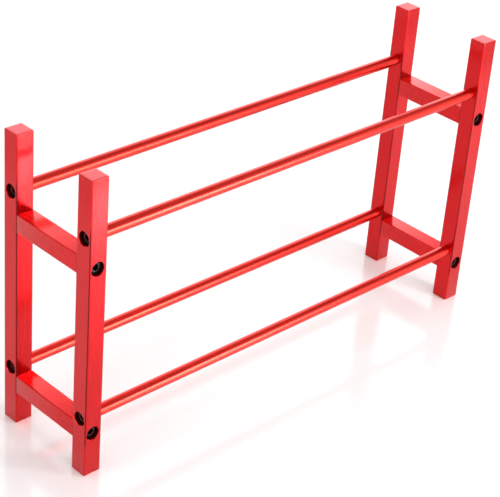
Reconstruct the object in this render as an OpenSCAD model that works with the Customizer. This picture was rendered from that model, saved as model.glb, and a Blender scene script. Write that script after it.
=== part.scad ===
// Tyre storage rack for scale-model tyres. Each end is a frame of square bar, with
// cross-bars between a front and a rear post. Round rods join the ends, a pair for each
// tier, and the tyres sit on a pair of rods. A sunk socket-head cap screw holds every joint.
//
// Millimetres, +Z up. The origin is on the floor, under the middle of the rack.
// +X runs along the rods from left to right, and +Y from front to rear.

/* [Bar stock] */
// Width of the square bar that the posts and cross-bars are cut from
bar_w = 8; // [7.5:0.5:12]
// Size of the broken edge round every face of the bar
edge_break = 0.3; // [0.1:0.05:0.5]

/* [Rack] */
// Overall length, over the posts
rack_length = 228; // [120:1:400]
// Overall depth, over the posts
rack_depth = 53; // [44:1:120]
// Height of the posts
post_height = 133; // [112:1:200]

/* [Tiers] */
// Height of the lower cross-bars' centre lines
lower_bar_z = 19.5; // [8:0.5:19.5]
// Height of the lower rods' centre lines
lower_rod_z = 26; // [26:0.5:80]
// Height of the upper cross-bars' centre lines
upper_bar_z = 95; // [40:0.5:101]
// Height of the upper rods' centre lines
upper_rod_z = 107.5; // [102:0.5:128]

/* [Rods] */
// Diameter of the rods
rod_d = 5; // [4.5:0.1:7]
// Size of the chamfer round each end of a rod
rod_chamfer = 0.35; // [0.1:0.05:0.5]

/* [Screws] */
// Thread diameter of the screws
screw_d = 3; // [2.5:0.1:3.2]
// Length of a screw under its head
screw_length = 10; // [9:1:19]
// Diameter of a screw's head
head_d = 5.5; // [5:0.1:5.8]
// Width of the hexagon socket across its flats
socket_w = 2.5; // [2:0.1:3]
// Depth of the counterbore that sinks a head below the face of the bar
counterbore_depth = 4.6; // [3.3:0.1:5]

/* [Hidden] */
$fn = 64;

// Which end of the rack, which side and which tier a piece belongs to
ENDS = ["left", "right"];
SIDES = ["front", "rear"];
TIERS = ["lower", "upper"];

// Where things are
function end_sign(end) = end == "left" ? -1 : 1;
function side_sign(side) = side == "front" ? -1 : 1;
function rod_z(tier) = tier == "lower" ? lower_rod_z : upper_rod_z;
function bar_z(tier) = tier == "lower" ? lower_bar_z : upper_bar_z;
post_x = (rack_length - bar_w) / 2;
post_y = (rack_depth - bar_w) / 2;
rod_length = rack_length - 2 * bar_w;
cross_bar_length = rack_depth - 2 * bar_w;

// Screw and hole sizes that follow from the thread
head_h = screw_d;
head_chamfer = 0.3;
socket_depth = screw_d / 2;
point_chamfer = 0.4;
counterbore_d = head_d + 0.5;
clearance_d = screw_d + 0.4;
tapped_d = screw_d + 0.05;
tapped_depth = screw_length - (bar_w - counterbore_depth) + 2;
mouth_break = 0.25;
// How far a cutter starts outside the face that it cuts
over = 1;
red = [0.85, 0.13, 0.13];
black = [0.10, 0.10, 0.11];

// A cylinder up +Z that opens out as a 45 degree cone over the last stretch before z = 0,
// and stays that wide above it, so that it cuts a hole with a broken mouth
module mouthed_hole(d, depth, mouth) {
    translate([0, 0, -depth]) cylinder(d = d, h = depth + over);
    translate([0, 0, -mouth]) cylinder(d1 = d, d2 = d + 2 * (mouth + over), h = mouth + over);
}

// The hole for a sunk screw: its mouth is at z = 0 and it runs down through the bar
module screw_hole() {
    mouthed_hole(counterbore_d, counterbore_depth, mouth_break);
    translate([0, 0, -bar_w - over]) cylinder(d = clearance_d, h = bar_w + over);
}

// A tapped hole drilled down from z = 0, with the cone that a drill leaves at its bottom
module tapped_hole() {
    mouthed_hole(tapped_d, tapped_depth, mouth_break);
    translate([0, 0, -tapped_depth - tapped_d / 4])
        cylinder(d1 = 0, d2 = tapped_d, h = tapped_d / 4);
}

// A rectangle about the origin with its corners cut by the edge break
module broken_rect(w, h) {
    x = w / 2;
    y = h / 2;
    b = edge_break;
    polygon([
        [x, b - y], [x, y - b], [x - b, y], [b - x, y],
        [-x, y - b], [-x, b - y], [b - x, -y], [x - b, -y]
    ]);
}

// A length of square bar up +Z from the origin, with every edge broken
module square_bar(length) {
    intersection() {
        linear_extrude(length) broken_rect(bar_w, bar_w);
        translate([0, bar_w / 2, length / 2]) rotate([90, 0, 0])
            linear_extrude(bar_w) broken_rect(bar_w, length);
        translate([-bar_w / 2, 0, length / 2]) rotate([90, 0, 90])
            linear_extrude(bar_w) broken_rect(bar_w, length);
    }
}

// Turns a piece that points up +Z so that it points out of the rack's end
module facing_end(end) {
    rotate([0, 90 * end_sign(end), 0]) children();
}

// Turns a piece that points up +Z so that it points out of the rack's front or rear
module facing_side(side) {
    rotate([-90 * side_sign(side), 0, 0]) children();
}

// A corner post. The rod screws enter its outer end face, and the bar screws its front or rear
module post(side, end) {
    x = end_sign(end) * post_x;
    y = side_sign(side) * post_y;
    color(red) translate([x, y, 0]) difference() {
        square_bar(post_height);
        for (tier = TIERS) {
            translate([end_sign(end) * bar_w / 2, 0, rod_z(tier)])
                facing_end(end) screw_hole();
            translate([0, side_sign(side) * bar_w / 2, bar_z(tier)])
                facing_side(side) screw_hole();
        }
    }
}

// A cross-bar between the front and rear posts of one end, tapped at both of its ends
module cross_bar(tier, end) {
    color(red) translate([end_sign(end) * post_x, 0, bar_z(tier)]) difference() {
        translate([0, -cross_bar_length / 2, 0]) facing_side("rear")
            square_bar(cross_bar_length);
        for (side = SIDES)
            translate([0, side_sign(side) * cross_bar_length / 2, 0])
                facing_side(side) tapped_hole();
    }
}

// A rod from the left end's inner face to the right end's, tapped at both of its ends
module rod(tier, side) {
    color(red) translate([0, side_sign(side) * post_y, rod_z(tier)]) difference() {
        for (end = ENDS)
            facing_end(end) {
                cylinder(d = rod_d, h = rod_length / 2 - rod_chamfer);
                translate([0, 0, rod_length / 2 - rod_chamfer])
                    cylinder(d1 = rod_d, d2 = rod_d - 2 * rod_chamfer, h = rod_chamfer);
            }
        for (end = ENDS)
            translate([end_sign(end) * rod_length / 2, 0, 0])
                facing_end(end) tapped_hole();
    }
}

// A socket-head cap screw with its head's underside at z = 0 and its thread down -Z
module cap_screw() {
    color(black) difference() {
        union() {
            cylinder(d = head_d, h = head_h - head_chamfer);
            translate([0, 0, head_h - head_chamfer])
                cylinder(d1 = head_d, d2 = head_d - 2 * head_chamfer, h = head_chamfer);
            translate([0, 0, point_chamfer - screw_length])
                cylinder(d = screw_d, h = screw_length - point_chamfer);
            translate([0, 0, -screw_length])
                cylinder(d1 = screw_d - 2 * point_chamfer, d2 = screw_d, h = point_chamfer);
        }
        translate([0, 0, head_h - socket_depth])
            cylinder(d = socket_w / cos(30), h = socket_depth + over, $fn = 6);
    }
}

// A screw that pulls a rod against a post, from the rack's end
module rod_screw(tier, side, end) {
    head_x = rack_length / 2 - counterbore_depth;
    translate([end_sign(end) * head_x, side_sign(side) * post_y, rod_z(tier)])
        facing_end(end) cap_screw();
}

// A screw that pulls a cross-bar against a post, from the rack's front or rear
module bar_screw(tier, side, end) {
    head_y = rack_depth / 2 - counterbore_depth;
    translate([end_sign(end) * post_x, side_sign(side) * head_y, bar_z(tier)])
        facing_side(side) cap_screw();
}

for (end = ENDS, side = SIDES)
    post(side, end);
for (end = ENDS, tier = TIERS)
    cross_bar(tier, end);
for (tier = TIERS, side = SIDES)
    rod(tier, side);
for (tier = TIERS, side = SIDES, end = ENDS) {
    place = str(tier, "_", side, "_", end);
    rod_screw(tier, side, end);
    bar_screw(tier, side, end);
}
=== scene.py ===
import math

import bpy
import numpy as np
from mathutils import Matrix, Vector


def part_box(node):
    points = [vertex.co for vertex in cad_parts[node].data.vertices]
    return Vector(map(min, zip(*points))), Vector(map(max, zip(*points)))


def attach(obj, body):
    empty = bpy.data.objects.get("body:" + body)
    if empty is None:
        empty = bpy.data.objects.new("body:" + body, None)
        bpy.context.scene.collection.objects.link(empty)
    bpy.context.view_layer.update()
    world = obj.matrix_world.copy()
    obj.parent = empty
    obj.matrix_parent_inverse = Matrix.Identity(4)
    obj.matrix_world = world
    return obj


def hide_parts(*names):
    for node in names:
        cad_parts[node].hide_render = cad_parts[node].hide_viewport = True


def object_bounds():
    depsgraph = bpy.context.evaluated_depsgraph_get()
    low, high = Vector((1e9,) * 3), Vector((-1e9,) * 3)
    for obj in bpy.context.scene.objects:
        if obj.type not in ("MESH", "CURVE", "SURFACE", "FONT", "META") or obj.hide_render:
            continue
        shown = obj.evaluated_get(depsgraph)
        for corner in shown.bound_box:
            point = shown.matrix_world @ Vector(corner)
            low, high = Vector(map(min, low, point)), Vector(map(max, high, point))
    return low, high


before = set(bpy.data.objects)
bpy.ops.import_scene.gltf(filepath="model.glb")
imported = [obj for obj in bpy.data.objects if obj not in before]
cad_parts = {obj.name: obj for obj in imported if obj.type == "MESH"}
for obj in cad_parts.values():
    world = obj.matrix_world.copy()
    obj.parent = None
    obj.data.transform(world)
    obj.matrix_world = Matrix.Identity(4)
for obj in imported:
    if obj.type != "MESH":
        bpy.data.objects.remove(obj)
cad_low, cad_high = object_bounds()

# A tyre rack in red anodised aluminium: drilled posts and cross-bars of drawn square bar,
# round rods, and black cap screws sunk in the posts. Metres throughout, in the frame of the
# CAD model: +X along the rods, +Y from front to rear, +Z up.

MM = 0.001
ENDS = {"left": -1.0, "right": 1.0}
SIDES = {"front": -1.0, "rear": 1.0}
TIERS = ("lower", "upper")


# ---------------------------------------------------------------- sizes, from the CAD model

def node_box(node):
    """The lowest and highest corners of a CAD node, as arrays."""
    low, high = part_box(node)
    return np.array(low), np.array(high)


def node_centre(node):
    low, high = node_box(node)
    return (low + high) / 2


RACK_LOW, RACK_HIGH = np.array(cad_low), np.array(cad_high)
RACK_SIZE = RACK_HIGH - RACK_LOW
POST_LOW, POST_HIGH = node_box("post_front_left")
BAR_W = float(POST_HIGH[0] - POST_LOW[0])
ROD_LOW, ROD_HIGH = node_box("rod_lower_front")
ROD_D = float(ROD_HIGH[1] - ROD_LOW[1])
SCREW_LOW, SCREW_HIGH = node_box("rod_screw_lower_front_left")
HEAD_D = float(SCREW_HIGH[1] - SCREW_LOW[1])
HEAD_TOP_DEPTH = float(SCREW_LOW[0] - RACK_LOW[0])
SCREW_TOTAL = float(SCREW_HIGH[0] - SCREW_LOW[0])

# An ISO cap screw's other sizes follow from its head, 11/6 of the thread across
THREAD_D = HEAD_D * 6 / 11
THREAD_PITCH = THREAD_D / 6
HEAD_H = THREAD_D
SOCKET_W = THREAD_D * 5 / 6
SOCKET_DEPTH = THREAD_D / 2
THREAD_LENGTH = SCREW_TOTAL - HEAD_H

# The room that a drilled hole leaves round a head, round a thread and past a screw's point
HEAD_ROOM = 0.5 * MM
CLEARANCE_ROOM = 0.4 * MM
TAPPED_ROOM = 0.05 * MM
POINT_ROOM = 2 * MM

COUNTERBORE_D = HEAD_D + HEAD_ROOM
COUNTERBORE_DEPTH = HEAD_TOP_DEPTH + HEAD_H
CLEARANCE_D = THREAD_D + CLEARANCE_ROOM
TAPPED_D = THREAD_D + TAPPED_ROOM
TAPPED_DEPTH = THREAD_LENGTH - (BAR_W - COUNTERBORE_DEPTH) + POINT_ROOM
DRILL_POINT = TAPPED_D / 4
EDGE_BREAK = 0.3 * MM
MOUTH_BREAK = 0.25 * MM
ROD_CHAMFER = 0.35 * MM

# How far the rubbing at an end reaches along the bar, in from its outline, and along a rod
BAR_RUB_ALONG = 4 * EDGE_BREAK
BAR_RUB_IN = 4 * EDGE_BREAK
ROD_RUB_ALONG = 10 * ROD_CHAMFER
RUBBED_MOUTH = 0.9

# How finely the surfaces are divided
FLAT_CELLS = 16
CORNER_CELLS = 3
ROD_CELLS = 64
SHARP_ANGLE = math.radians(35)


# ---------------------------------------------------------------- mesh making

class Skin:
    """Patches of quads that meet edge to edge and are welded into one surface."""

    WELD = 1e-7

    def __init__(self):
        self.points, self.quads, self.smooth, self.wear, self.cut = [], [], [], [], []
        self.count = 0

    def grid(self, points, smooth=False, around=False, keep=None, wear=0.0, cut=0.0):
        """Adds a grid of points (rows, columns, 3) with a quad in each cell. around joins the last
        column to the first, and keep is a mask of the cells that are filled. The wear value says how
        much a point is rubbed; below zero it marks where a dark line is painted along a corner, and
        on a screw its rubbing also stands in for a painted glint. cut is 1 on a sawn end."""
        rows, columns = points.shape[:2]
        number = np.arange(rows * columns).reshape(rows, columns)
        if around:
            number = np.concatenate([number, number[:, :1]], axis=1)
        quads = np.stack([number[:-1, :-1], number[:-1, 1:], number[1:, 1:], number[1:, :-1]], -1)
        if keep is not None:
            quads = quads[keep]
        quads = quads.reshape(-1, 4)
        self.points.append(points.reshape(-1, 3))
        self.quads.append(quads + self.count)
        self.smooth.append(np.full(len(quads), smooth))
        self.wear.append(np.broadcast_to(np.asarray(wear, float), (rows, columns)).reshape(-1))
        self.cut.append(np.full(rows * columns, cut))
        self.count += rows * columns

    def piece(self, name):
        """Welds the patches and makes the object. A quad that a pole has pinched becomes a
        triangle, or goes if nothing is left of it, and so does a point that no quad uses."""
        points = np.concatenate(self.points)
        quads = np.concatenate(self.quads)
        smooth = np.concatenate(self.smooth)
        wear = np.concatenate(self.wear)
        cut = np.concatenate(self.cut)
        keys = np.round(points / self.WELD).astype(np.int64)
        _, first, welded = np.unique(keys, axis=0, return_index=True, return_inverse=True)
        welded = welded.reshape(-1)
        most_cut = np.zeros(len(first))
        np.maximum.at(most_cut, welded, cut)
        quads = welded[quads]
        distinct = quads != np.roll(quads, 1, axis=1)
        sides = distinct.sum(1)
        whole = sides >= 3
        quads, distinct, sides, smooth = quads[whole], distinct[whole], sides[whole], smooth[whole]
        used, corners = np.unique(quads[distinct], return_inverse=True)
        points, wear, cut = points[first[used]], wear[first[used]], most_cut[used]
        mesh = bpy.data.meshes.new(name)
        mesh.vertices.add(len(points))
        mesh.vertices.foreach_set("co", points.astype(np.float32).reshape(-1))
        mesh.loops.add(len(corners))
        mesh.loops.foreach_set("vertex_index", corners.reshape(-1).astype(np.int32))
        mesh.polygons.add(len(sides))
        starts = np.concatenate([[0], np.cumsum(sides)[:-1]]).astype(np.int32)
        mesh.polygons.foreach_set("loop_start", starts)
        mesh.polygons.foreach_set("use_smooth", smooth)
        mesh.update(calc_edges=True)
        mesh.validate()
        mesh.set_sharp_from_angle(angle=SHARP_ANGLE)
        for label, values in (("wear", wear), ("cut", cut)):
            layer = mesh.attributes.new(label, "FLOAT", "POINT")
            layer.data.foreach_set("value", values.astype(np.float32))
        made = bpy.data.objects.new(name, mesh)
        bpy.context.scene.collection.objects.link(made)
        return made


def place(points, origin, u, v, n):
    """Carries points from a flat's own axes, across u, along v and out along n, to the rack's."""
    return origin + points[..., :1] * u + points[..., 1:2] * v + points[..., 2:3] * n


def ring(radius, turn, height):
    """A circle of points at the given angles, at one height."""
    return np.stack([radius * np.cos(turn), radius * np.sin(turn), np.full_like(turn, height)], -1)


# ---------------------------------------------------------------- square bar

def bar_outline():
    """The square bar's outline, anticlockwise: four flats, each divided evenly across, joined by
    rounded corners, each a quarter circle of the edge break's radius. Gives the points, the number
    of the flat that each step to the next point lies on (-1 on a corner), and the wear value, which
    is below zero along the corners, where a dark line is painted along each long edge, a painted
    dark reflection of the surroundings."""
    half, r = BAR_W / 2, EDGE_BREAK
    across = np.linspace(-1, 1, FLAT_CELLS + 1)[:-1] * (half - r)
    flat = np.stack([np.full(FLAT_CELLS, half), across], -1)
    turn = np.linspace(0, math.pi / 2, CORNER_CELLS + 1)[:-1]
    corner = np.stack([half - r + r * np.cos(turn), half - r + r * np.sin(turn)], -1)
    points, step_flat, wear = [], [], []
    for quarter in range(4):
        c, s = math.cos(quarter * math.pi / 2), math.sin(quarter * math.pi / 2)
        spin = np.array([[c, s], [-s, c]])
        points += [flat @ spin, corner @ spin]
        step_flat += [np.full(FLAT_CELLS, quarter), np.full(CORNER_CELLS, -1)]
        # below zero along the corners: a dark line painted there, a painted dark reflection
        wear += [np.where(np.abs(across) < half - r, 0.0, -1.0), np.full(CORNER_CELLS, -1.0)]
    return np.concatenate(points), np.concatenate(step_flat), np.concatenate(wear)


class Hole:
    """A round hole in a flat of the bar: which flat, how far along, and the steps of its wall as
    (radius, depth) pairs from the mouth inwards. through carries it on to the opposite flat."""

    def __init__(self, flat, along, wall, through=False):
        self.flat, self.along, self.wall, self.through = flat, along, wall, through


def bar_levels(length, holes):
    """Heights along the bar at which it is divided: its ends and their rounded corners, and a fine
    even lattice past each hole, so that a hole's window has whole cells on every side. Gives the
    lattice's pitch and half a window's cells too."""
    pitch = (BAR_W - 2 * EDGE_BREAK) / FLAT_CELLS
    half = FLAT_CELLS // 2
    turn = np.linspace(0, math.pi / 2, CORNER_CELLS + 1)
    end = EDGE_BREAK * (1 - np.cos(turn))
    lattice = [round(hole.along / pitch) + np.arange(-half, half + 1) for hole in holes]
    fine = np.unique(np.concatenate(lattice)) * pitch if lattice else np.array([])
    return np.concatenate([end, fine, (length - end)[::-1]]), pitch, half


def square_bar(name, length, axes, origin, holes=(), end_hole=None):
    """A length of square bar. Its outline is carried along it and drawn in over the corner radius
    at both ends, cells are left out where holes go, and each hole's window is filled by a ruled
    ring from the window's edge to the hole's mouth, then by the hole's own turned wall.
    axes are the bar's across, across and along directions, and origin is the middle of its foot."""
    skin = Skin()
    across_a, across_b, along = (np.array(axis, float) for axis in axes)

    def rack(points):
        return place(points, np.asarray(origin), across_a, across_b, along)

    outline, step_flat, outline_wear = bar_outline()
    levels, pitch, half = bar_levels(length, holes)
    end_gap = np.minimum(levels, length - levels)
    sunk = np.clip(EDGE_BREAK - end_gap, 0, None)
    draw_in = EDGE_BREAK - np.sqrt(np.clip(EDGE_BREAK**2 - sunk**2, 0, None))
    inner = BAR_W / 2 - EDGE_BREAK
    core = np.clip(outline, -inner, inner)
    shrink = 1 - draw_in / EDGE_BREAK
    body = core[None] + (outline - core)[None] * shrink[:, None, None]
    points = np.concatenate(
        [body, np.broadcast_to(levels[:, None, None], (*body.shape[:2], 1))], -1
    )
    end_wear = 1 - np.clip((end_gap - EDGE_BREAK) / BAR_RUB_ALONG, 0, 1)
    wear = np.where(end_wear[:, None] > 0, end_wear[:, None], outline_wear[None])

    near_end = np.minimum(end_gap[1:], end_gap[:-1]) < EDGE_BREAK
    rounded = (step_flat[None] < 0) | near_end[:, None]
    filled = np.ones((len(levels) - 1, len(outline)), bool)
    middles = (levels[1:] + levels[:-1]) / 2
    windows = []
    for hole in holes:
        centre = round(hole.along / pitch) * pitch
        rows = np.abs(middles - centre) < half * pitch
        for flat in (hole.flat, (hole.flat + 2) % 4) if hole.through else (hole.flat,):
            filled &= ~(rows[:, None] & (step_flat[None] == flat))
        window = np.nonzero(rows)[0]
        windows.append(np.append(window, window[-1] + 1))
    skin.grid(rack(points), around=True, keep=filled & ~rounded, wear=wear)
    skin.grid(rack(points), smooth=True, around=True, keep=filled & rounded, wear=wear)

    for hole, rows in zip(holes, windows):
        fill_window(skin, rack, hole, levels[rows], inner)
    for sign, row in ((-1, 0), (1, -1)):
        cap_end(skin, rack, body[row], levels[row], sign, end_hole)
    return skin.piece(name)


def fill_window(skin, rack, hole, heights, inner):
    """Fills a hole's window. Its edge is walked anticlockwise as seen from outside, and each point
    of the hole's mouth and wall stands at the same angle about the hole as a point of the edge."""
    across = np.linspace(-inner, inner, FLAT_CELLS + 1)
    low, high = heights[0], heights[-1]
    upright = np.full(len(heights) - 1, inner)
    edge_u = np.concatenate([across[:-1], upright, across[:0:-1], -upright])
    level = np.ones(FLAT_CELLS)
    edge_v = np.concatenate([level * low, heights[:-1], level * high, heights[:0:-1]])
    turn = np.arctan2(edge_v - hole.along, edge_u)
    quarter = hole.flat * math.pi / 2
    out = np.array([math.cos(quarter), math.sin(quarter), 0.0])
    side = np.array([-math.sin(quarter), math.cos(quarter), 0.0])
    up = np.array([0.0, 0.0, 1.0])
    face = out * BAR_W / 2 + up * hole.along

    def on_flat(points):
        return rack(place(points, face, side, up, out))

    edge = np.stack([edge_u, edge_v - hole.along, np.zeros_like(edge_u)], -1)
    rim = ring(hole.wall[0][0], turn, 0.0)
    skin.grid(on_flat(np.stack([edge, rim])), around=True, wear=np.array([[0.0], [RUBBED_MOUTH]]))
    wall = np.stack([ring(radius, turn, -depth) for radius, depth in hole.wall])
    wall_wear = np.zeros(len(hole.wall))
    wall_wear[:2] = RUBBED_MOUTH
    skin.grid(on_flat(wall), smooth=True, around=True, wear=wall_wear[:, None])
    if hole.through:
        far_edge = edge - np.array([0, 0, BAR_W])
        far_rim = ring(hole.wall[-1][0], turn, -BAR_W)
        skin.grid(on_flat(np.stack([far_rim, far_edge])), around=True)


def cap_end(skin, rack, outline, height, sign, hole):
    """Closes an end of the bar: rings from the outline to the middle, or to a hole's mouth and
    down its wall. sign is 1 at the far end and -1 at the foot."""
    turn = np.arctan2(outline[:, 1], outline[:, 0])
    wall = hole or ((EDGE_BREAK, 0.0), (0.0, 0.0))
    inset = 1 - BAR_RUB_IN / (BAR_W / 2)
    level = np.full((len(outline), 1), height)
    rings = [np.concatenate([outline * share, level], -1) for share in (1.0, inset)]
    rings += [ring(radius, turn, height - sign * depth) for radius, depth in wall]
    rows = rack(np.stack(rings))[:, ::sign]
    skin.grid(rows[:2], around=True, wear=np.array([[1.0], [0.0]]), cut=1.0)
    skin.grid(rows[1:3], around=True, cut=1.0)
    skin.grid(rows[2:], smooth=bool(hole), around=True, cut=0.0 if hole else 1.0)


COUNTERBORED = (
    (COUNTERBORE_D / 2 + MOUTH_BREAK, 0.0),
    (COUNTERBORE_D / 2, MOUTH_BREAK),
    (COUNTERBORE_D / 2, COUNTERBORE_DEPTH),
    (CLEARANCE_D / 2, COUNTERBORE_DEPTH),
    (CLEARANCE_D / 2, BAR_W),
)
TAPPED = (
    (TAPPED_D / 2 + MOUTH_BREAK, 0.0),
    (TAPPED_D / 2, MOUTH_BREAK),
    (TAPPED_D / 2, TAPPED_DEPTH),
    (0.0, TAPPED_DEPTH + DRILL_POINT),
)


def drilled_post(side, end):
    """A corner post with a counterbored hole for each rod screw in its outer end face and for each
    bar screw in its front or rear face. Flat 0 faces +X, 1 +Y, 2 -X and 3 -Y."""
    end_flat = 0 if ENDS[end] > 0 else 2
    side_flat = 1 if SIDES[side] > 0 else 3
    foot = node_centre(f"post_{side}_{end}")
    foot[2] = RACK_LOW[2]
    holes = []
    for tier in TIERS:
        rod_z = node_centre(f"rod_{tier}_{side}")[2]
        bar_z = node_centre(f"cross_bar_{tier}_{end}")[2]
        holes.append(Hole(end_flat, rod_z, COUNTERBORED, through=True))
        holes.append(Hole(side_flat, bar_z, COUNTERBORED, through=True))
    axes = ((1, 0, 0), (0, 1, 0), (0, 0, 1))
    return square_bar(f"drilled_post_{side}_{end}", RACK_SIZE[2], axes, foot, holes)


def tapped_cross_bar(tier, end):
    """A cross-bar from the front post to the rear post, tapped at both ends."""
    low, high = node_box(f"cross_bar_{tier}_{end}")
    start = (low + high) / 2
    start[1] = low[1]
    axes = ((0, 0, 1), (1, 0, 0), (0, 1, 0))
    name = f"tapped_cross_bar_{tier}_{end}"
    return square_bar(name, high[1] - low[1], axes, start, end_hole=TAPPED)


# ---------------------------------------------------------------- turned pieces

def turned_rod(tier, side):
    """A rod: a bore's drill cone and wall, the faced end and its chamfer, the long body, and the
    same again at the other end, as a profile of (distance along, radius) points that is turned
    about the rod's own axis."""
    low, high = node_box(f"rod_{tier}_{side}")
    length = high[0] - low[0]
    r = ROD_D / 2
    near = [(depth, radius) for radius, depth in TAPPED[::-1]]
    near += [(0.0, r - ROD_CHAMFER), (ROD_CHAMFER, r), (ROD_RUB_ALONG, r)]
    near = np.array(near)
    far = near[::-1] * (-1, 1) + (length, 0)
    profile = np.concatenate([near, far])
    end_gap = np.minimum(profile[:, 0], length - profile[:, 0])
    outside = np.abs(profile[:, 1] - r) < 2 * ROD_CHAMFER
    wear = np.clip(np.where(outside, 1 - end_gap / ROD_RUB_ALONG, 0), 0, 1)
    turn = np.linspace(0, 2 * math.pi, ROD_CELLS, endpoint=False)
    rows = np.stack([ring(radius, turn, along) for along, radius in profile])
    start = (low + high) / 2
    start[0] = low[0]
    across, up, along = np.array([(0, 1, 0), (0, 0, 1), (1, 0, 0)], float)
    skin = Skin()
    skin.grid(place(rows, start, across, up, along), smooth=True, around=True, wear=wear[:, None])
    return skin.piece(f"turned_rod_{tier}_{side}")


# A cap screw's finer details, and how finely it is divided
HEAD_CELLS = 168
HEAD_RIBS = 42
CELLS_A_THREAD_STEP = 6
THREAD_STEPS_A_PITCH = 6
RIB_DEPTH = 0.06 * MM
HEAD_ROUND = 0.3 * MM
HEAD_FOOT = 0.15 * MM
SOCKET_CONE = 0.05 * MM
SOCKET_POINT = 0.35 * MM
THREAD_DEPTH = 0.6 * THREAD_PITCH
POINT_CHAMFER = 0.4 * MM


def cap_screw(name, node, out):
    """A socket-head cap screw. The head is turned with a rolled-over top edge and a finely ribbed
    side. The socket is a hexagon, radius across(turn) = half the width over the cosine of the
    angle from the nearest flat's middle, entered by a cone. The thread is a ridge that winds down
    the shank: radius = crest less the depth times a triangle wave of height over pitch plus turn."""
    low, high = node_box(node)
    out = np.array(out, float)
    centre = (low + high) / 2
    top = np.where(out > 0, high, np.where(out < 0, low, centre))
    side = np.array([0.0, 0.0, 1.0])
    axes = (np.cross(side, out), side, out)
    skin = Skin()
    r = HEAD_D / 2

    def rack(points):
        return place(points, top, *axes)

    # the head, from under it up its ribbed side and over its rolled top edge
    turn = np.linspace(0, 2 * math.pi, HEAD_CELLS, endpoint=False)
    wound = turn[::CELLS_A_THREAD_STEP]
    neck_turn = np.repeat(wound, CELLS_A_THREAD_STEP)
    ribbed = r - RIB_DEPTH / 2 * (1 - np.cos(HEAD_RIBS * turn))
    head = [
        ring(THREAD_D / 2, neck_turn, -HEAD_H),
        ring(r - HEAD_FOOT, turn, -HEAD_H),
        ring(r, turn, HEAD_FOOT - HEAD_H),
        ring(ribbed, turn, 2 * HEAD_FOOT - HEAD_H),
        ring(ribbed, turn, -2 * HEAD_ROUND),
    ]
    for bend in np.linspace(math.pi / 2, 0, 4):
        bent = r - HEAD_ROUND + HEAD_ROUND * math.sin(bend)
        head.append(ring(bent, turn, HEAD_ROUND * (math.cos(bend) - 1)))
    # rubbing on the head's rolled top edge, partly real and partly a painted glint
    worn_and_painted_light = np.array([0, 0, 0.2, 0.3, 0.5, 0.8, 1.0, 0.7, 0.2])[:, None]
    skin.grid(rack(np.stack(head)), smooth=True, around=True, wear=worn_and_painted_light)

    # from the top face down into the socket
    flat_turn = (turn + math.pi / 6) % (math.pi / 3) - math.pi / 6
    hexagon = SOCKET_W / 2 / np.cos(flat_turn)
    mouth = SOCKET_W / 2 / math.cos(math.pi / 6) + SOCKET_CONE
    socket = np.stack([hexagon * np.cos(turn), hexagon * np.sin(turn), hexagon - mouth], -1)
    socket_floor = socket * (1, 1, 0) - (0, 0, SOCKET_DEPTH)
    well = [
        ring(r - HEAD_ROUND, turn, 0.0),
        ring(mouth, turn, 0.0),
        socket,
        socket_floor,
        ring(0.0, turn, -SOCKET_DEPTH - SOCKET_POINT),
    ]
    # rubbing round the socket's mouth, partly real and partly a painted glint
    worn_and_painted_light = np.array([0.2, 1.0, 0.5, 0.0, 0.0])[:, None]
    skin.grid(rack(np.stack(well)), smooth=True, around=True, wear=worn_and_painted_light)

    # the thread, fading in at the point and out under the head
    steps = round(THREAD_LENGTH / THREAD_PITCH) * THREAD_STEPS_A_PITCH
    up = np.linspace(0, THREAD_LENGTH, steps + 1)[:, None]
    phase = (up / THREAD_PITCH - wound / (2 * math.pi)) % 1.0
    fade = np.clip(np.minimum(up, THREAD_LENGTH - up) / THREAD_PITCH, 0, 1)
    depth = THREAD_DEPTH * np.abs(2 * phase - 1) * fade
    point = np.clip(POINT_CHAMFER - up, 0, None)
    radius = THREAD_D / 2 - depth - point
    height = np.broadcast_to(up - HEAD_H - THREAD_LENGTH, radius.shape)
    shank = np.stack([radius * np.cos(wound), radius * np.sin(wound), height], -1)
    tip = ring(0.0, wound, -HEAD_H - THREAD_LENGTH)
    skin.grid(rack(np.concatenate([tip[None], shank])), smooth=True, around=True)
    return skin.piece(name)


# ---------------------------------------------------------------- finishes

def new_group(name, inputs, outputs):
    """An empty shader node group with the named sockets, as (tree, inputs node, outputs node)."""
    tree = bpy.data.node_groups.new(name, "ShaderNodeTree")
    for socket, kind, value in inputs:
        made = tree.interface.new_socket(socket, in_out="INPUT", socket_type=kind)
        made.default_value = value
    for socket, kind in outputs:
        tree.interface.new_socket(socket, in_out="OUTPUT", socket_type=kind)
    return tree, tree.nodes.new("NodeGroupInput"), tree.nodes.new("NodeGroupOutput")


def add(tree, kind, settings=None, **links):
    """Adds a node, sets its properties, and gives each input a value or another node's output.
    An input is named by its socket, with _ for a space, or by in and its number."""
    node = tree.nodes.new(kind)
    for key, value in (settings or {}).items():
        setattr(node, key, value)
    for key, value in links.items():
        socket = node.inputs[int(key[2:]) if key[:2] == "in" else key.replace("_", " ")]
        if isinstance(value, bpy.types.NodeSocket):
            tree.links.new(value, socket)
        else:
            socket.default_value = value
    return node


def ranged(tree, value, low, high, from_low=0.0, from_high=1.0):
    """value carried from one range to another."""
    return add(
        tree, "ShaderNodeMapRange", in0=value, in1=from_low, in2=from_high, in3=low, in4=high
    ).outputs[0]


# Noise cells a metre: fine and broad drawn lines, clouds in the dye, and mottle in the oxide
FINE_LINES, BROAD_LINES, DYE_CLOUDS, OXIDE_MOTTLE = 5000.0, 1100.0, 55.0, 1500.0
# Noise cells a metre that break up the rubbing of an edge
BAR_RUB_GRAIN, SCREW_RUB_GRAIN = 900.0, 2600.0


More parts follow.
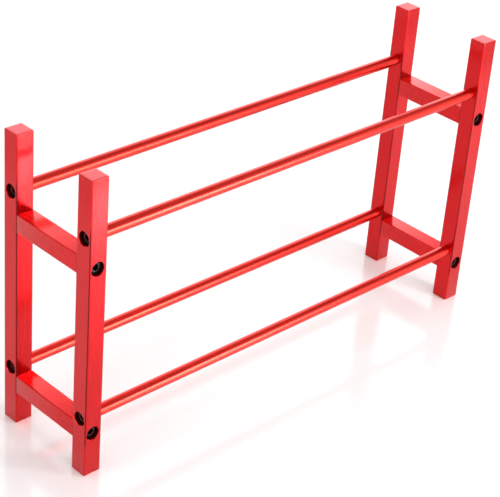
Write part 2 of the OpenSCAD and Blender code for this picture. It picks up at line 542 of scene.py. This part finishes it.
def drawn_grain_group():
    """Fine lines that drawing leaves along a bar or a rod, and broader bands of them. Object
    coordinates are squeezed by Stretch, so that noise runs far along the piece and changes quickly
    across it."""
    tree, given, made = new_group(
        "drawn_grain",
        [("Stretch", "NodeSocketVector", (1, 1, 1))],
        [("Lines", "NodeSocketFloat"), ("Bands", "NodeSocketFloat")],
    )
    where = add(tree, "ShaderNodeTexCoord").outputs["Object"]
    squeezed = add(
        tree, "ShaderNodeVectorMath", {"operation": "MULTIPLY"},
        in0=where, in1=given.outputs["Stretch"],
    ).outputs[0]
    for output, scale in (("Lines", FINE_LINES), ("Bands", BROAD_LINES)):
        noise = add(
            tree, "ShaderNodeTexNoise", Vector=squeezed, Scale=scale, Detail=2.0, Roughness=0.5
        )
        tree.links.new(noise.outputs["Fac"], made.inputs[output])
    return tree


def edge_wear_group():
    """Where an edge is rubbed: the piece's own wear attribute above zero, broken up by noise; on a
    screw this rubbed grey also stands in for a painted glint. And where a dark line is painted along
    a bar's corners, a painted dark reflection: the same attribute below zero."""
    tree, given, made = new_group(
        "edge_wear",
        [("Amount", "NodeSocketFloat", 0.5), ("Grain", "NodeSocketFloat", BAR_RUB_GRAIN)],
        [("Mask", "NodeSocketFloat"), ("PaintedDarkLine", "NodeSocketFloat")],
    )
    where = add(tree, "ShaderNodeTexCoord").outputs["Object"]
    worn_and_painted_light = add(tree, "ShaderNodeAttribute", {"attribute_name": "wear"}).outputs["Fac"]
    grain = add(
        tree, "ShaderNodeTexNoise", Vector=where, Scale=given.outputs["Grain"], Detail=4.0
    ).outputs["Fac"]
    both = add(tree, "ShaderNodeMath", {"operation": "MULTIPLY"}, in0=worn_and_painted_light, in1=grain).outputs[0]
    mask = add(
        tree, "ShaderNodeMapRange", {"interpolation_type": "SMOOTHSTEP"},
        in0=both, in1=0.3, in2=0.75, in3=0.0, in4=given.outputs["Amount"],
    ).outputs[0]
    # the painted dark line along the corners, a painted dark reflection, from the attribute below
    # zero
    painted_dark_line = ranged(tree, worn_and_painted_light, 1.0, 0.0, from_low=-1.0, from_high=-0.7)
    tree.links.new(mask, made.inputs["Mask"])
    tree.links.new(painted_dark_line, made.inputs["PaintedDarkLine"])
    return tree


DRAWN_GRAIN = drawn_grain_group()
RUB_AND_PAINTED_LIGHT = edge_wear_group()


def new_material(name, **constants):
    """A material with a Principled shader, its constant sockets set."""
    material = bpy.data.materials.new(name)
    material.use_nodes = True
    tree = material.node_tree
    tree.nodes.clear()
    shader = add(tree, "ShaderNodeBsdfPrincipled")
    for key, value in constants.items():
        shader.inputs[key.replace("_", " ")].default_value = value
    output = add(tree, "ShaderNodeOutputMaterial")
    tree.links.new(shader.outputs[0], output.inputs["Surface"])
    return material, tree, shader


def mixed_colour(tree, share, first, second):
    """A colour between first and second, by share."""
    node = add(tree, "ShaderNodeMix", {"data_type": "RGBA"})
    for socket, value in (("Factor_Float", share), ("A_Color", first), ("B_Color", second)):
        socket = next(s for s in node.inputs if s.identifier == socket)
        if isinstance(value, bpy.types.NodeSocket):
            tree.links.new(value, socket)
        else:
            socket.default_value = value
    return next(s for s in node.outputs if s.identifier == "Result_Color")


def anodised(name, stretch, dye_range, gloss_range, line_depth, coat):
    """Red anodised aluminium: a metal whose dye lies a little unevenly in fine lines along the
    piece and thins where an end or a mouth is rubbed, under a clear oxide skin, with a dark line
    painted along the corners, a painted dark reflection. A sawn end is rougher, and its colour is
    painted paler, a painted sheen. coat is the skin's weight and roughness."""
    material, tree, shader = new_material(
        name, Metallic=1.0, Coat_Weight=coat[0], Coat_Roughness=coat[1], Coat_IOR=1.55
    )
    grain = add(tree, "ShaderNodeGroup", {"node_tree": DRAWN_GRAIN}, Stretch=stretch)
    bands = grain.outputs["Bands"]
    worn_and_painted_light = add(
        tree, "ShaderNodeGroup", {"node_tree": RUB_AND_PAINTED_LIGHT}, Amount=0.25, Grain=BAR_RUB_GRAIN
    )
    where = add(tree, "ShaderNodeTexCoord").outputs["Object"]
    clouds = add(
        tree, "ShaderNodeTexNoise", Vector=where, Scale=DYE_CLOUDS, Detail=3.0, Roughness=0.55
    ).outputs["Fac"]
    dye = add(
        tree, "ShaderNodeMath", {"operation": "MULTIPLY_ADD"},
        in0=bands, in1=LINES_SHARE, in2=ranged(tree, clouds, 0.0, CLOUDS_SHARE, 0.3, 0.7),
    ).outputs[0]
    colour = mixed_colour(tree, dye, *dye_range)
    colour = mixed_colour(tree, worn_and_painted_light.outputs["Mask"], colour, WORN_RED)
    # painted dark line along the corners, a painted dark reflection
    colour = mixed_colour(tree, worn_and_painted_light.outputs["PaintedDarkLine"], colour, PAINTED_DARK_LINE_RED)
    sawn = add(tree, "ShaderNodeAttribute", {"attribute_name": "cut"}).outputs["Fac"]
    # sawn ends painted paler, a painted sheen; the roughness they add below is real
    colour = mixed_colour(tree, sawn, colour, CUT_RED_WITH_PAINTED_SHEEN)
    tree.links.new(colour, shader.inputs["Base Color"])
    gloss = add(
        tree, "ShaderNodeMath", {"operation": "MULTIPLY_ADD"},
        in0=clouds, in1=CLOUDS_HAZE, in2=ranged(tree, bands, *gloss_range, 0.3, 0.7),
    ).outputs[0]
    gloss = add(
        tree, "ShaderNodeMath", {"operation": "MULTIPLY_ADD"}, in0=sawn, in1=SAWN_HAZE, in2=gloss
    ).outputs[0]
    tree.links.new(gloss, shader.inputs["Roughness"])
    bump = add(
        tree, "ShaderNodeBump", Strength=0.08, Distance=line_depth, Height=grain.outputs["Lines"]
    )
    tree.links.new(bump.outputs["Normal"], shader.inputs["Normal"])
    return material


def black_oxide():
    """Black oxide steel with a thin film of oil, rubbed to grey along the head's edges and round the
    socket's mouth; this grey is partly real rubbing and partly a painted glint.
    """
    material, tree, shader = new_material(
        "black_oxide", Metallic=1.0, Coat_Weight=0.1, Coat_Roughness=0.2
    )
    worn_and_painted_light = add(
        tree, "ShaderNodeGroup", {"node_tree": RUB_AND_PAINTED_LIGHT}, Amount=0.4, Grain=SCREW_RUB_GRAIN
    )
    where = add(tree, "ShaderNodeTexCoord").outputs["Object"]
    mottle = add(
        tree, "ShaderNodeTexNoise", Vector=where, Scale=OXIDE_MOTTLE, Detail=4.0
    ).outputs["Fac"]
    colour = mixed_colour(tree, mottle, *OXIDE_BLACKS)
    # rubbed grey, partly real rubbing and partly a painted glint
    colour = mixed_colour(tree, worn_and_painted_light.outputs["Mask"], colour, RUBBED_STEEL_AND_GLINT)
    tree.links.new(colour, shader.inputs["Base Color"])
    tree.links.new(ranged(tree, mottle, 0.28, 0.5), shader.inputs["Roughness"])
    bump = add(tree, "ShaderNodeBump", Strength=0.25, Distance=OXIDE_RELIEF, Height=mottle)
    tree.links.new(bump.outputs["Normal"], shader.inputs["Normal"])
    return material


WORN_RED = (0.72, 0.06, 0.05, 1)
# a dark line painted along the bars' corners, a painted dark reflection
PAINTED_DARK_LINE_RED = (0.17, 0.002, 0.003, 1)
# the sawn ends' paler colour, a painted sheen
CUT_RED_WITH_PAINTED_SHEEN = (0.60, 0.055, 0.065, 1)
BAR_REDS = ((0.60, 0.005, 0.008, 1), (0.69, 0.008, 0.011, 1))
ROD_REDS = ((0.70, 0.010, 0.004, 1), (0.84, 0.020, 0.006, 1))
OXIDE_BLACKS = ((0.003, 0.003, 0.0035, 1), (0.010, 0.0095, 0.0095, 1))
# the screws' rubbed steel, partly real rubbing and partly a painted glint
RUBBED_STEEL_AND_GLINT = (0.42, 0.41, 0.40, 1)
OXIDE_RELIEF = 0.02 * MM

# How much the broad lines and the clouds each vary the dye
LINES_SHARE, CLOUDS_SHARE = 0.6, 0.4
# What the clouds and a sawn end add to the roughness
CLOUDS_HAZE, SAWN_HAZE = 0.05, 0.12

# The deepest and brightest dye, the smoothest and roughest gloss, the depth of the drawn lines,
# and the clear skin's weight and roughness
BAR_LOOK = (BAR_REDS, (0.20, 0.26), 0.003 * MM, (0.28, 0.15))
ROD_LOOK = (ROD_REDS, (0.20, 0.29), 0.002 * MM, (0.38, 0.3))

# How far the drawn lines' noise is squeezed along and across a piece
ALONG, ACROSS = 0.012, 1.0

POST_FINISH = anodised("anodised_post", (ACROSS, ACROSS, ALONG), *BAR_LOOK)
CROSS_BAR_FINISH = anodised("anodised_cross_bar", (ACROSS, ALONG, ACROSS), *BAR_LOOK)
ROD_FINISH = anodised("anodised_rod", (ALONG, ACROSS, ACROSS), *ROD_LOOK)
SCREW_FINISH = black_oxide()


def fit(piece, node, finish):
    """Gives a piece its finish and its place in the model: it stands for a CAD node."""
    piece.data.materials.append(finish)
    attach(piece, "root")
    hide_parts(node)


# ---------------------------------------------------------------- the rack

for side in SIDES:
    for end in ENDS:
        fit(drilled_post(side, end), f"post_{side}_{end}", POST_FINISH)
for tier in TIERS:
    for end in ENDS:
        fit(tapped_cross_bar(tier, end), f"cross_bar_{tier}_{end}", CROSS_BAR_FINISH)
    for side in SIDES:
        fit(turned_rod(tier, side), f"rod_{tier}_{side}", ROD_FINISH)
        for end in ENDS:
            for kind, out in (("rod", (ENDS[end], 0, 0)), ("bar", (0, SIDES[side], 0))):
                node = f"{kind}_screw_{tier}_{side}_{end}"
                fit(cap_screw(f"cap_{node}", node, out), node, SCREW_FINISH)


# ---------------------------------------------------------------- camera, floor and light

VIEW_AZIMUTH, VIEW_ELEVATION, VIEW_ROLL = -45.77, 30.18, math.radians(4.85)
VIEW_DISTANCE = 3.130 * RACK_SIZE[0]
VIEW_AIM = RACK_LOW + RACK_SIZE * (0.4742, 0.4538, 0.4234)
LENS_MM, SENSOR_MM = 119.56, 36.0
MIDDLE = (RACK_LOW + RACK_HIGH) / 2
LEFT_END = MIDDLE - RACK_SIZE * (0.5, 0, 0)
LEFT_RODS = RACK_LOW + RACK_SIZE * (0.25, 0.1, 0.5)
FLOOR_REACH = 8.0

# Heights, as sines of 20 and 42 degrees, between which the surround falls from white to dim
WHITE_UP_TO, DIM_FROM = math.sin(math.radians(20)), math.sin(math.radians(42))


def bearing(azimuth, elevation):
    """The direction from the rack at an azimuth, from the front round to the right, and an
    elevation, both in degrees."""
    a, e = math.radians(azimuth), math.radians(elevation)
    return Vector((math.sin(a) * math.cos(e), -math.cos(a) * math.cos(e), math.sin(e)))


def camera():
    """Looks down at the rack from the front left, with a long lens and a slight roll."""
    back = bearing(VIEW_AZIMUTH, VIEW_ELEVATION)
    level = Vector((0, 0, 1)).cross(back).normalized()
    above = back.cross(level)
    right = level * math.cos(VIEW_ROLL) + above * math.sin(VIEW_ROLL)
    turned = Matrix((right, back.cross(right), back)).transposed().to_4x4()
    data = bpy.data.cameras.new("camera")
    data.lens, data.sensor_width = LENS_MM, SENSOR_MM
    data.clip_start, data.clip_end = 0.01, 50.0
    made = bpy.data.objects.new("camera", data)
    made.matrix_world = Matrix.Translation(Vector(VIEW_AIM) + back * VIEW_DISTANCE) @ turned
    bpy.context.scene.collection.objects.link(made)
    bpy.context.scene.camera = made


def softbox(name, aim_at, azimuth, elevation, distance, width, height, power):
    """A rectangular softbox that faces a point from a bearing and a distance."""
    back = bearing(azimuth, elevation)
    data = bpy.data.lights.new(name, "AREA")
    data.shape, data.size, data.size_y, data.energy = "RECTANGLE", width, height, power
    made = bpy.data.objects.new(name, data)
    made.rotation_mode = "QUATERNION"
    made.location = Vector(aim_at) + back * distance
    made.rotation_quaternion = (-back).to_track_quat("-Z", "Y")
    bpy.context.scene.collection.objects.link(made)


def pale_floor():
    """A large sheet of white acrylic, glossy enough to mirror the rack faintly."""
    skin = Skin()
    along = np.linspace(-FLOOR_REACH, FLOOR_REACH, 3)
    x, y = np.meshgrid(along, along, indexing="ij")
    skin.grid(np.stack([x, y, np.zeros_like(x)], -1)[::-1])
    sheet = skin.piece("floor")
    material, tree, shader = new_material("white_acrylic", Roughness=0.13, IOR=1.75)
    shader.inputs["Base Color"].default_value = (0.84, 0.84, 0.84, 1)
    sheet.data.materials.append(material)


def white_surround(low, high):
    """A white studio all round: low is its brightness from the floor up to 20 degrees, and it
    falls smoothly to high from 42 degrees up to the zenith."""
    world = bpy.data.worlds.new("studio")
    world.use_nodes = True
    tree = world.node_tree
    direction = add(tree, "ShaderNodeTexCoord").outputs["Generated"]
    height = add(tree, "ShaderNodeSeparateXYZ", Vector=direction).outputs["Z"]
    brightness = add(
        tree, "ShaderNodeMapRange", {"interpolation_type": "SMOOTHSTEP"},
        in0=height, in1=WHITE_UP_TO, in2=DIM_FROM, in3=low, in4=high,
    ).outputs[0]
    tree.nodes["Background"].inputs["Color"].default_value = (1, 1, 1, 1)
    tree.links.new(brightness, tree.nodes["Background"].inputs["Strength"])
    bpy.context.scene.world = world


camera()
pale_floor()
white_surround(1.28, 0.48)

# Each faces a point from an azimuth, elevation and distance, with a width, a height and a power
softbox("front_softbox", MIDDLE, 0, 10, 0.75, 0.36, 0.24, 2.1)
softbox("rod_softbox", LEFT_RODS, 35, 7, 0.5, 0.12, 0.15, 1.9)
softbox("left_softbox", LEFT_END, -90, 12, 0.3, 0.20, 0.15, 0.25)
softbox("rear_softbox", MIDDLE, 140, 30, 1.4, 1.2, 1.0, 3.5)
softbox("top_softbox", MIDDLE, 0, 88, 1.8, 1.2, 1.2, 8.6)
bpy.context.scene.view_settings.view_transform = "Standard"
